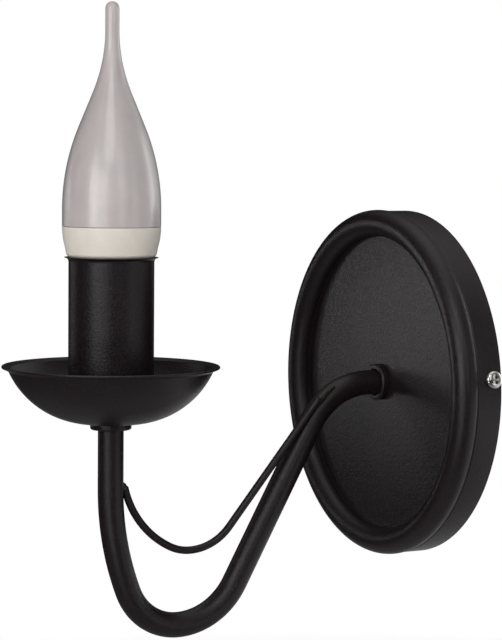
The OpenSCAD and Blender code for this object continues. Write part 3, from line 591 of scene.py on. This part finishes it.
arm = {"radius": 5, "wall": 1, "drop": 92.6, "inset": 29.2, "stub": 18.4, "upperBend": 30.3,
       "innerBend": 28.7, "outerBend": 23.1, "straightDrop": 37.2, "sides": 64, "spacing": 1.5}
rod = {"radius": 1.5, "over": 4.5, "side": 4.2, "slope": 51.5, "run": 63.7, "bend": 22.1, "lowBend": 18.4,
       "lowAngle": 26.4, "endAngle": 78.4, "endGap": 5.7, "sides": 28, "spacing": 0.25, "tip": 1.4}
reach = -candleY


def along(angle, length):
    return Vector((math.cos(math.radians(angle)), math.sin(math.radians(angle)))) * length


# Centres of the bends in the plane X = 0, as (y, z). The diagonal touches the bends at both its ends
def armShape():
    lowPoint = Vector((arm["inset"] - reach, -arm["drop"]))
    inner = lowPoint + Vector((0, arm["innerBend"]))
    outer = lowPoint + Vector((0, arm["outerBend"]))
    upper = Vector((-arm["stub"], -arm["upperBend"]))
    span = upper - inner
    slope = math.degrees(math.atan2(span.y, span.x)
                         + math.asin((arm["upperBend"] + arm["innerBend"]) / span.length))
    rise = -arm["straightDrop"] - outer.y
    turn = 90 - 2 * math.degrees(math.atan((arm["inset"] - arm["outerBend"]) / rise))
    sweepBend = arm["outerBend"] + rise / math.cos(math.radians(turn))
    sweep = Vector((sweepBend - reach, -arm["straightDrop"]))
    return inner, outer, upper, sweep, sweepBend, slope, turn


def armPoints():
    tubeHigh = boxInMm("arm_tube")[1]
    inner, outer, upper, sweep, sweepBend, slope, turn = armShape()
    line = [(tubeHigh[1], 0)]
    line += arcPoints(upper, arm["upperBend"], 90, 90 + slope, 40)
    line += arcPoints(inner, arm["innerBend"], 270 + slope, 270, 40)
    line += arcPoints(outer, arm["outerBend"], 270, 270 - turn, 30)[1:]
    line += arcPoints(sweep, sweepBend, 270 - turn, 180, 40)[1:]
    return [(0, y, z) for y, z in line + [(candleY, tubeHigh[2])]]


# The rod touches the arm where the arm's upper bend has the rod's slope, and lies beside it there
def rodShape():
    rise = math.sqrt((arm["radius"] + rod["radius"]) ** 2 - rod["side"] ** 2)
    touch = armShape()[2] + along(90 + rod["slope"], arm["upperBend"] + rise)
    return rise, touch, math.asin(rod["side"] / (reach + touch.x))


def leaned(y, z, x=0):
    lean = rodShape()[2]                     # the rod's plane is turned a little about the candle's axis
    away = y - candleY
    return (x * math.cos(lean) + away * math.sin(lean),
            candleY + away * math.cos(lean) - x * math.sin(lean), z)


# From the upper end down the straight run and round the U, until it lies let into the candle tube
def rodPoints():
    touch = rodShape()[1]
    start = touch + along(rod["slope"], rod["over"])
    runEnd = start - along(rod["slope"], rod["run"])
    bendCentre = runEnd + along(90 + rod["slope"], rod["bend"])
    lowCentre = bendCentre + Vector((0, rod["lowBend"] - rod["bend"]))
    low, last = math.radians(rod["lowAngle"]), math.radians(rod["endAngle"])
    sweepBend = ((lowCentre.x + reach - rod["endGap"] - rod["lowBend"] * math.sin(low))
                 / (math.sin(last) - math.sin(low)))
    sweepCentre = lowCentre + Vector((math.sin(low), math.cos(low))) * (sweepBend - rod["lowBend"])
    line = [tuple(start)]
    line += arcPoints(bendCentre, rod["bend"], 270 + rod["slope"], 270, 24)
    line += arcPoints(lowCentre, rod["lowBend"], 270, 270 - rod["lowAngle"], 8)[1:]
    line += arcPoints(sweepCentre, sweepBend, 270 - rod["lowAngle"], 270 - rod["endAngle"], 20)[1:]
    return [leaned(y, z) for y, z in line]


# Follows a line with a round bar whose ends are drawn in over a short length
def barTree():
    tree, given, out = startTree("round bar along a line", {
        "Radius": "Float", "Sides": "Int", "Spacing": "Float", "End": "Float", "Caps": "Bool",
        "Finish": "Material"})
    curve = addNode(tree, "GeometryNodeMeshToCurve", {}, {"Mesh": given.outputs["Geometry"]})
    even = addNode(tree, "GeometryNodeResampleCurve", {"mode": "LENGTH"},
                   {"Curve": curve.outputs["Curve"], "Length": given.outputs["Spacing"]})
    place = addNode(tree, "GeometryNodeSplineParameter")
    length = addNode(tree, "GeometryNodeSplineLength")
    left = addNode(tree, "ShaderNodeMath", {"operation": "SUBTRACT"},
                   {0: length.outputs["Length"], 1: place.outputs["Length"]})
    nearest = addNode(tree, "ShaderNodeMath", {"operation": "MINIMUM"},
                      {0: place.outputs["Length"], 1: left.outputs["Value"]})
    share = addNode(tree, "ShaderNodeMath", {"operation": "DIVIDE", "use_clamp": True},
                    {0: nearest.outputs["Value"], 1: given.outputs["End"]})
    opposite = addNode(tree, "ShaderNodeMath", {"operation": "SUBTRACT", 0: 2.0}, {1: share.outputs["Value"]})
    product = addNode(tree, "ShaderNodeMath", {"operation": "MULTIPLY"},
                      {0: share.outputs["Value"], 1: opposite.outputs["Value"]})
    swell = addNode(tree, "ShaderNodeMath", {"operation": "SQRT"}, {0: product.outputs["Value"]})
    least = addNode(tree, "ShaderNodeMath", {"operation": "MAXIMUM", 1: 0.02}, {0: swell.outputs["Value"]})
    ring = addNode(tree, "GeometryNodeCurvePrimitiveCircle", {},
                   {"Resolution": given.outputs["Sides"], "Radius": given.outputs["Radius"]})
    bar = addNode(tree, "GeometryNodeCurveToMesh", {},
                  {"Curve": even.outputs["Curve"], "Profile Curve": ring.outputs["Curve"],
                   "Scale": least.outputs["Value"], "Fill Caps": given.outputs["Caps"]})
    return endTree(tree, bar.outputs["Mesh"], given.outputs["Finish"], out)


roundBar = barTree()
bluntEnd = 1e-6     # draws in the last ring alone, so a bar closes over its last spacing as a blunt cone


def makeArm():
    mesh = grown("armTube", armPoints(), roundBar, {
        "Radius": arm["radius"] * perMm, "Sides": arm["sides"], "Spacing": arm["spacing"] * perMm,
        "End": bluntEnd, "Caps": False, "Finish": paint})
    wall = newPiece("armTube", mesh, paint, "arm_tube").modifiers.new("wall", "SOLIDIFY")
    wall.thickness = arm["wall"] * perMm
    wall.offset = -1


def makeRod():
    mesh = grown("accentRod", rodPoints(), roundBar, {
        "Radius": rod["radius"] * perMm, "Sides": rod["sides"], "Spacing": rod["spacing"] * perMm,
        "End": rod["tip"] * perMm, "Caps": True, "Finish": paint})
    newPiece("accentRod", mesh, paint, "accent_rod")


# Scatters slightly different round blobs on points, from a fixed seed. Each is narrower than the one
# before, and after Count points they start wide again
def beadTree():
    tree, given, out = startTree("weld metal on points", {
        "Radius": "Float", "Taper": "Float", "Count": "Int", "Seed": "Int", "Finish": "Material"})
    ball = addNode(tree, "GeometryNodeMeshIcoSphere", {"Subdivisions": 4},
                   {"Radius": given.outputs["Radius"]})
    size = addNode(tree, "FunctionNodeRandomValue", {"data_type": "FLOAT_VECTOR"},
                   {"Seed": given.outputs["Seed"]})
    size.inputs[0].default_value = (1 - weld["uneven"],) * 3
    size.inputs[1].default_value = (1 + weld["uneven"],) * 3
    turn = addNode(tree, "FunctionNodeRandomValue", {"data_type": "FLOAT_VECTOR"},
                   {"Seed": given.outputs["Seed"]})
    turn.inputs[1].default_value = (math.tau,) * 3
    number = addNode(tree, "GeometryNodeInputIndex")
    place = addNode(tree, "ShaderNodeMath", {"operation": "MODULO"},
                    {0: number.outputs["Index"], 1: given.outputs["Count"]})
    shrink = addNode(tree, "ShaderNodeMath", {"operation": "MULTIPLY"},
                     {0: place.outputs["Value"], 1: given.outputs["Taper"]})
    width = addNode(tree, "ShaderNodeMath", {"operation": "SUBTRACT", 0: 1.0}, {1: shrink.outputs["Value"]})
    scaled = addNode(tree, "ShaderNodeVectorMath", {"operation": "SCALE"},
                     {"Vector": size.outputs["Value"], "Scale": width.outputs["Value"]})
    beads = addNode(tree, "GeometryNodeInstanceOnPoints", {},
                    {"Points": given.outputs["Geometry"], "Instance": ball.outputs["Mesh"],
                     "Rotation": turn.outputs["Value"], "Scale": scaled.outputs["Vector"]})
    return endTree(tree, beads.outputs["Instances"], given.outputs["Finish"], out)


weld = {"radius": 1.75, "spacing": 0.7, "start": -1.4, "count": 12, "taper": 0.06, "proud": 0.7,
        "seed": 7, "uneven": 0.15, "endRise": -0.6, "endSunk": 0.9, "voxel": 0.16, "smoothing": 10}


# The weld metal runs up the arm from the rod's upper end and narrows. There is a small blob at the
# rod's lower end
def makeWelds():
    rise = rodShape()[0]
    upper, bend = armShape()[2], arm["upperBend"]
    grip = (arm["radius"] + weld["proud"]) / (arm["radius"] + rod["radius"])
    spots = []
    for i in range(weld["count"]):
        angle = rod["slope"] - math.degrees((rod["over"] + weld["start"] + i * weld["spacing"]) / bend)
        here = upper + along(90 + angle, bend + grip * rise)
        spots.append((grip * rod["side"], here.x, here.y))
    end = rodPoints()[-1]
    spots.append((end[0], end[1] - weld["endSunk"], end[2] + weld["endRise"]))
    mesh = grown("weldBeads", spots, beadTree(), {
        "Radius": weld["radius"] * perMm, "Taper": weld["taper"], "Count": weld["count"],
        "Seed": weld["seed"], "Finish": weldHighlightPaint}, edges=False)
    # The welds take the paler coat, a painted highlight
    piece = newPiece("weldBeads", mesh, weldHighlightPaint, "rod_welds")
    melt = piece.modifiers.new("melt", "REMESH")
    melt.mode = "VOXEL"
    melt.voxel_size = weld["voxel"] * perMm
    melt.use_smooth_shade = True
    soften = piece.modifiers.new("soften", "SMOOTH")
    soften.iterations = weld["smoothing"]


makeArm()
makeRod()
makeWelds()
print("arm, rod and welds: done")


# Collar, washer, bowl and sleeve

bore = 5.15         # hole for the tube, in every piece that it passes through
collar = {"radius": 7.3, "height": 3, "round": 0.9, "chamfer": 0.5, "edge": 0.3, "sides": 96}
washer = {"radius": 8, "round": 0.8, "edge": 0.2, "sides": 96}
bowl = {"curve": 34.4, "flat": 8.1, "wall": 1, "flangeDrop": 0.9, "rimRound": 0.4, "sides": 256}
sleeve = {"radius": 16.5, "wall": 0.8, "flare": 1.6, "flareHeight": 1.8, "footRound": 0.8, "lipBand": 0.2,
          "edge": 0.2, "sides": 192}


def makeCollar():
    low = -boxInMm("arm_collar")[1][1]
    top = low + collar["height"]
    bend = collar["round"]
    outline = [(bore, low), (collar["radius"], low), (collar["radius"], top - bend)]
    outline += arcPoints((collar["radius"] - bend, top - bend), bend, 0, 90, 8)[1:]
    outline += [(bore + collar["chamfer"], top), (bore, top - collar["chamfer"])]
    mesh = turned("armCollar", rounded(outline, collar["edge"]), onWall, collar["sides"])
    newPiece("armCollar", mesh, paint, "arm_collar")


def makeWasher():
    low, high = boxInMm("bowl_washer")
    bend = washer["round"]
    foot = arcPoints((washer["radius"] - bend, low[2] + bend), bend, -90, 0, 6)
    outline = [(bore, low[2])] + foot + [(washer["radius"], high[2]), (bore, high[2])]
    mesh = turned("bowlWasher", rounded(outline, washer["edge"]), onCandle, washer["sides"])
    newPiece("bowlWasher", mesh, paint, "bowl_washer")


def makeBowl():
    foot, rim = bowlLow[2], bowlHigh[2]
    edge = (bowlHigh[0] - bowlLow[0]) / 2
    centre = (bowl["flat"], foot + bowl["curve"])
    wallTop = rim - bowl["wall"] - bowl["flangeDrop"]
    inner = bowl["curve"] - bowl["wall"]
    endOut = math.degrees(math.asin((wallTop - centre[1]) / bowl["curve"]))
    endIn = math.degrees(math.asin((wallTop + bowl["wall"] - centre[1]) / inner))
    outline = [(bore, foot)] + arcPoints(centre, bowl["curve"], -90, endOut, 44)
    outline += arcPoints((edge - bowl["wall"] / 2, rim - bowl["wall"] / 2), bowl["wall"] / 2, -90, 90, 8)
    outline += arcPoints(centre, inner, endIn, -90, 44) + [(bore, foot + bowl["wall"])]
    mesh = turned("dripBowl", rounded(outline, bowl["rimRound"]), onCandle, bowl["sides"])
    newPiece("dripBowl", mesh, paint, "drip_bowl")


def makeSleeve():
    radius, wall, flare = sleeve["radius"], sleeve["wall"], sleeve["flare"]
    bend = sleeve["footRound"]
    turn = (radius + flare, lipZ - sleeve["flareHeight"])
    lipIn = 180 - math.degrees(math.asin(sleeve["flareHeight"] / (flare + wall)))
    foot = arcPoints((radius - bend, sleeveZ + bend), bend, -90, 0, 8)
    outline = [(bore, sleeveZ)] + foot + arcPoints(turn, flare, 180, 108, 12)
    outline += [(radius + flare, lipZ - sleeve["lipBand"]), (radius + flare, lipZ)]
    outline += arcPoints(turn, flare + wall, lipIn, 180, 12)
    outline += [(radius - wall, sleeveZ + wall), (bore, sleeveZ + wall)]
    mesh = turned("candleSleeve", rounded(outline, sleeve["edge"]), onCandle, sleeve["sides"])
    newPiece("candleSleeve", mesh, paint, "candle_sleeve")


makeCollar()
makeWasher()
makeBowl()
makeSleeve()
print("collar, washer, bowl and sleeve: done")


# Lamp

bulb = {"radius": 19, "wall": 1, "neck": 6.3, "mouth": 15.7, "tip": 2.7, "barrelShare": 0.55,
        "tipShare": 0.41, "barrelRise": 6.6, "tipLength": 8.1, "seat": 1.6, "ledge": 1.15}
cap = {"radius": 6.8, "depth": 0.5, "pitch": 2.82, "turns": 5, "wall": 0.4, "start": 1.0, "sides": 72,
       "rows": 150, "crest": 0.8, "footIn": 0.6, "footRise": 0.8}


# The radii of the barrel and the neck are shares of the sum at which the two curves would just meet, and a
# short straight run joins them
def makeEnvelope():
    radius, tip, top = bulb["radius"], bulb["tip"], tipZ - bulb["tip"]
    barrelZ, neckZ = seamZ + bulb["barrelRise"], top - bulb["tipLength"]
    tall = neckZ - barrelZ
    meeting = ((radius - tip) ** 2 + tall ** 2) / (2 * (radius - tip))
    barrel, neck = bulb["barrelShare"] * meeting, bulb["tipShare"] * meeting
    across = barrel + neck - radius + tip
    shoulder = math.degrees(math.atan2(tall, across) - math.acos((barrel + neck) / math.hypot(across, tall)))
    outer = [(radius, seamZ + 0.15)]
    outer += arcPoints((radius - barrel, barrelZ), barrel, 0, shoulder, 36)
    outer += arcPoints((tip + neck, neckZ), neck, 180 + shoulder, 180, 28)
    outer += arcPoints((0, top), tip, 0, 90, 12)
    inner = [(r - bulb["wall"], h) for r, h in reversed(outer) if r > 3 * bulb["wall"]]
    outline = outer[:-1] + [(0, tipZ), (0, inner[0][1] + 2)] + inner
    mesh = turned("lampEnvelope", outline, onCandle, 160)
    newPiece("lampEnvelope", mesh, envelopeFinish, "bulb_envelope")


# A moulded shell, drawn from its foot up past the sleeve's lip to the envelope, and back down inside
def makeLampCollar():
    radius, mouth, neck = bulb["radius"], bulb["mouth"], bulb["neck"] + 0.05
    low = boxInMm("bulb_collar")[0][2]
    show, seat, ledge = seamZ - lipZ, seamZ - bulb["seat"], bulb["ledge"]
    outline = [(neck, low), (neck + 1.6, low), (neck + 2.6, low + 1), (mouth - 3, lipZ - 7),
               (mouth - 1.1, lipZ - 2.6), (mouth - 0.2, lipZ - 0.4), (mouth + 1.2, lipZ + 0.5),
               (radius - 1.65, lipZ + 0.1 * show), (radius - 1.15, lipZ + 0.32 * show),
               (radius - 0.4, lipZ + 0.58 * show), (radius, seat), (radius, seamZ), (radius - ledge, seamZ),
               (radius - ledge, seat), (radius - 3, seat), (radius - 4.6, lipZ + 2), (mouth - 4.6, lipZ - 5),
               (neck + 1, low + 2.4), (neck, low + 2.4)]
    mesh = turned("lampCollar", rounded(outline, 0.35), onCandle, 160)
    newPiece("lampCollar", mesh, collarFinish, "bulb_collar")


# The screw cap's rolled thread is a true helix: its height moves up one pitch in each turn
def makeCap():
    low = boxInMm("bulb_cap")[0][2]
    top = boxInMm("bulb_cap")[1][2]
    sides, rows = cap["sides"], cap["rows"]
    root = cap["radius"] - cap["depth"]
    threadLow, threadHigh = low + cap["start"], low + cap["start"] + cap["turns"] * cap["pitch"]
    bm = bmesh.new()
    grid = []
    for row in range(rows + 1):
        height = low + (top - low) * row / rows
        ring = []
        for k in range(sides):
            phase = (height - low) / cap["pitch"] - k / sides
            fade = max(0, min(1, (height - threadLow) / cap["pitch"], (threadHigh - height) / cap["pitch"]))
            wave = cap["depth"] * fade * (0.5 - 0.5 * math.cos(2 * math.pi * phase)) ** cap["crest"]
            foot = min(1, (height - low) / cap["footRise"])
            angle = 2 * math.pi * k / sides
            radius = root - cap["footIn"] * (1 - foot) ** 2 + wave
            ring.append(bm.verts.new(onCandle(radius * math.cos(angle), radius * math.sin(angle), height)))
        grid.append(ring)
    for below, above in zip(grid, grid[1:]):
        for k in range(sides):
            bm.faces.new((below[k], below[(k + 1) % sides], above[(k + 1) % sides], above[k]))
    bm.faces.new(grid[0])
    bmesh.ops.scale(bm, vec=(perMm,) * 3, verts=bm.verts)
    piece = newPiece("lampCap", meshFrom(bm, "lampCap", 60), nickelCap, "bulb_cap")
    wall = piece.modifiers.new("wall", "SOLIDIFY")
    wall.thickness = cap["wall"] * perMm
    wall.offset = -1


makeEnvelope()
makeLampCollar()
makeCap()
print("lamp: done")


# Side screws

screw = {"headRadius": 3.5, "headHeight": 2.4, "shank": 1.95, "length": 8, "recess": 1.9, "slot": 0.55,
         "recessDepth": 1.5, "turn": 5.5, "height": 4}


# One pan-head screw along Z with a tapered cross recess, its head standing on z = 0
def screwObject():
    r, h = screw["headRadius"], screw["headHeight"]
    crown = [(r * math.cos(math.radians(a)) ** 0.62, h * (0.35 + 0.65 * math.sin(math.radians(a))))
             for a in range(0, 90, 6)]
    outline = [(0, -screw["length"]), (screw["shank"] - 0.4, -screw["length"]),
               (screw["shank"], -screw["length"] + 0.6), (screw["shank"], 0), (r - 0.15, 0), (r, 0.15)]
    outline += crown + [(0, h)]
    body = bpy.data.objects.new("screw", turned("screw", outline, lambda x, y, z: (x, y, z), 64, 30))
    bm = bmesh.new()
    for turn in (0, 90):
        made = bmesh.ops.create_cube(bm, size=1)["verts"]
        for v in made:
            taper = 1 if v.co.z > 0 else 0.45
            v.co = Vector((v.co.x * 2 * screw["recess"] * taper, v.co.y * 2 * screw["slot"] * taper,
                           h + 0.4 if v.co.z > 0 else h - screw["recessDepth"]))
        bmesh.ops.rotate(bm, verts=made, cent=(0, 0, 0),
                         matrix=Matrix.Rotation(math.radians(turn), 3, "Z"))
    bmesh.ops.scale(bm, vec=(perMm,) * 3, verts=bm.verts)
    cutter = bpy.data.objects.new("cutter", meshFrom(bm, "cutter"))
    for thing in (body, cutter):
        bpy.context.scene.collection.objects.link(thing)
    cut = body.modifiers.new("recess", "BOOLEAN")
    cut.object = cutter
    cut.solver = "EXACT"
    cut.use_self = True
    cutMesh = bpy.data.meshes.new_from_object(body.evaluated_get(bpy.context.evaluated_depsgraph_get()))
    for thing in (body, cutter):
        bpy.data.objects.remove(thing)
    cutObject = bpy.data.objects.new("sideScrew", smoothed(cutMesh, 30))
    bpy.context.scene.collection.objects.link(cutObject)
    return cutObject


# Stands a copy of an object on each point, pointing away from the plate's middle
def screwTree():
    tree, given, out = startTree("screws round the rim", {
        "Screw": "Object", "Middle": "Vector", "Finish": "Material"})
    shape = addNode(tree, "GeometryNodeObjectInfo", {}, {"Object": given.outputs["Screw"]})
    place = addNode(tree, "GeometryNodeInputPosition")
    away = addNode(tree, "ShaderNodeVectorMath", {"operation": "SUBTRACT"},
                   {0: place.outputs["Position"], 1: given.outputs["Middle"]})
    turn = addNode(tree, "FunctionNodeAlignRotationToVector", {"axis": "Z"},
                   {"Vector": away.outputs["Vector"]})
    copies = addNode(tree, "GeometryNodeInstanceOnPoints", {},
                     {"Points": given.outputs["Geometry"], "Instance": shape.outputs["Geometry"],
                      "Rotation": turn.outputs["Rotation"]})
    return endTree(tree, copies.outputs["Instances"], given.outputs["Finish"], out)


def makeSideScrews():
    shape = screwObject()
    rim = [math.radians(angle) for angle in (screw["turn"], 180 + screw["turn"])]
    points = [onWall(plate["radius"] * math.cos(a), plate["radius"] * math.sin(a), screw["height"])
              for a in rim]
    mesh = grown("sideScrews", points, screwTree(), {
        "Screw": shape, "Middle": Vector(onWall(0, 0, screw["height"])) * perMm, "Finish": nickel},
        edges=False, angle=30)
    bpy.data.objects.remove(shape)
    newPiece("sideScrews", mesh, nickel, "side_screws")


makeSideScrews()
print("side screws: done")


# Pieces behind the plate and inside the candle

# The CAD solid with its edges broken by this bevel in mm, and its finish
brokenEdges = {
    "wall_bracket": (0.25, zinc), "earth_tags": (0.12, zinc), "terminal_block": (0.35, ivory),
    "terminal_screws": (0.1, zinc), "arm_lock_nut": (0.15, zinc), "stack_nut": (0.15, zinc),
    "arm_lock_washer": (0.1, zinc), "earth_screw": (0.12, brass), "lead_bush": (0.2, ivory),
    "holder_bracket": (0.15, zinc),
}
plainFinishes = {
    "terminal_clamps": brass, "sleeve_spacer": zinc, "holder_bush": zinc, "holder_body": phenolic,
    "holder_shell": brass, "holder_contact": brass, "holder_screws": zinc, "bulb_contact": brass,
    "bulb_insulator": insulator, "driver_board": circuitGreen, "led_board": boardWhite, "led_chips": phosphor,
}


def finishInner():
    for node, (width, finish) in brokenEdges.items():
        newPiece(node + "_finished", softened(node, width), finish, node)
    for node, finish in plainFinishes.items():
        mesh = frame["nodes"][node].data
        mesh.materials.clear()
        mesh.materials.append(finish)


finishInner()
print("inner pieces: done")


# Leads

# The leads run from the terminal block into the arm, along it and up to the lampholder's floor. The first
# points are places in the frame. The next have their depth from the tube's open end, and the top ones are
# measured from the candle's axis and the leads' upper ends
leads = {"radius": 1.1, "side": 1.5, "sides": 20, "spacing": 0.7,
         "live": [(13.5, -4.5, 4), (10.5, -4.5, 4), (8.5, -4.2, 3.2)],
         "liveInto": [(5.4, 2.6, 1.8), (2.9, 2.4, 0.7), (1.6, 1.2, 0.1)],
         "neutral": [(13.5, -4.5, -4), (10.5, -4.5, -4), (8.5, -4.2, -3.2)],
         "neutralInto": [(5.4, 2.6, -1.8), (2.2, 2.6, -1.9), (-0.2, 2.2, -1.1), (-1.3, 1.1, -0.2)],
         "top": [(0.2, 1.2, -11), (0.5, 3.6, -8.4), (0.3, 5.4, -4.4), (0, 5.8, -2), (0, 5.8, 0)]}


def leadPoints(first, into, side):
    start = -boxInMm("arm_tube")[1][1]
    route = armPoints()
    route = [(route[0][0], 1 - start, 0)] + route[1:-1] + [(0, candleY, boxInMm("arm_tube")[1][2] + 1)]
    top = boxInMm("lead_live")[1][2]
    return (first + [(x, y - start, z) for x, y, z in into]
            + [(side * leads["side"], y, z) for x, y, z in route]
            + [(side * (leads["side"] + x), candleY + side * y, top + z) for x, y, z in leads["top"]])


def makeLeads():
    for node, first, into, side in (("lead_live", leads["live"], leads["liveInto"], 1),
                                    ("lead_neutral", leads["neutral"], leads["neutralInto"], -1)):
        mesh = grown(node + "_smooth", leadPoints(first, into, side), roundBar, {
            "Radius": leads["radius"] * perMm, "Sides": leads["sides"], "Spacing": leads["spacing"] * perMm,
            "End": bluntEnd, "Caps": True, "Finish": leadFinishes[node]})
        newPiece(node + "_smooth", mesh, leadFinishes[node], node)
    mesh = frame["nodes"]["lead_earth"].data
    mesh.materials.clear()
    mesh.materials.append(leadFinishes["lead_earth"])


makeLeads()
print("leads: done")
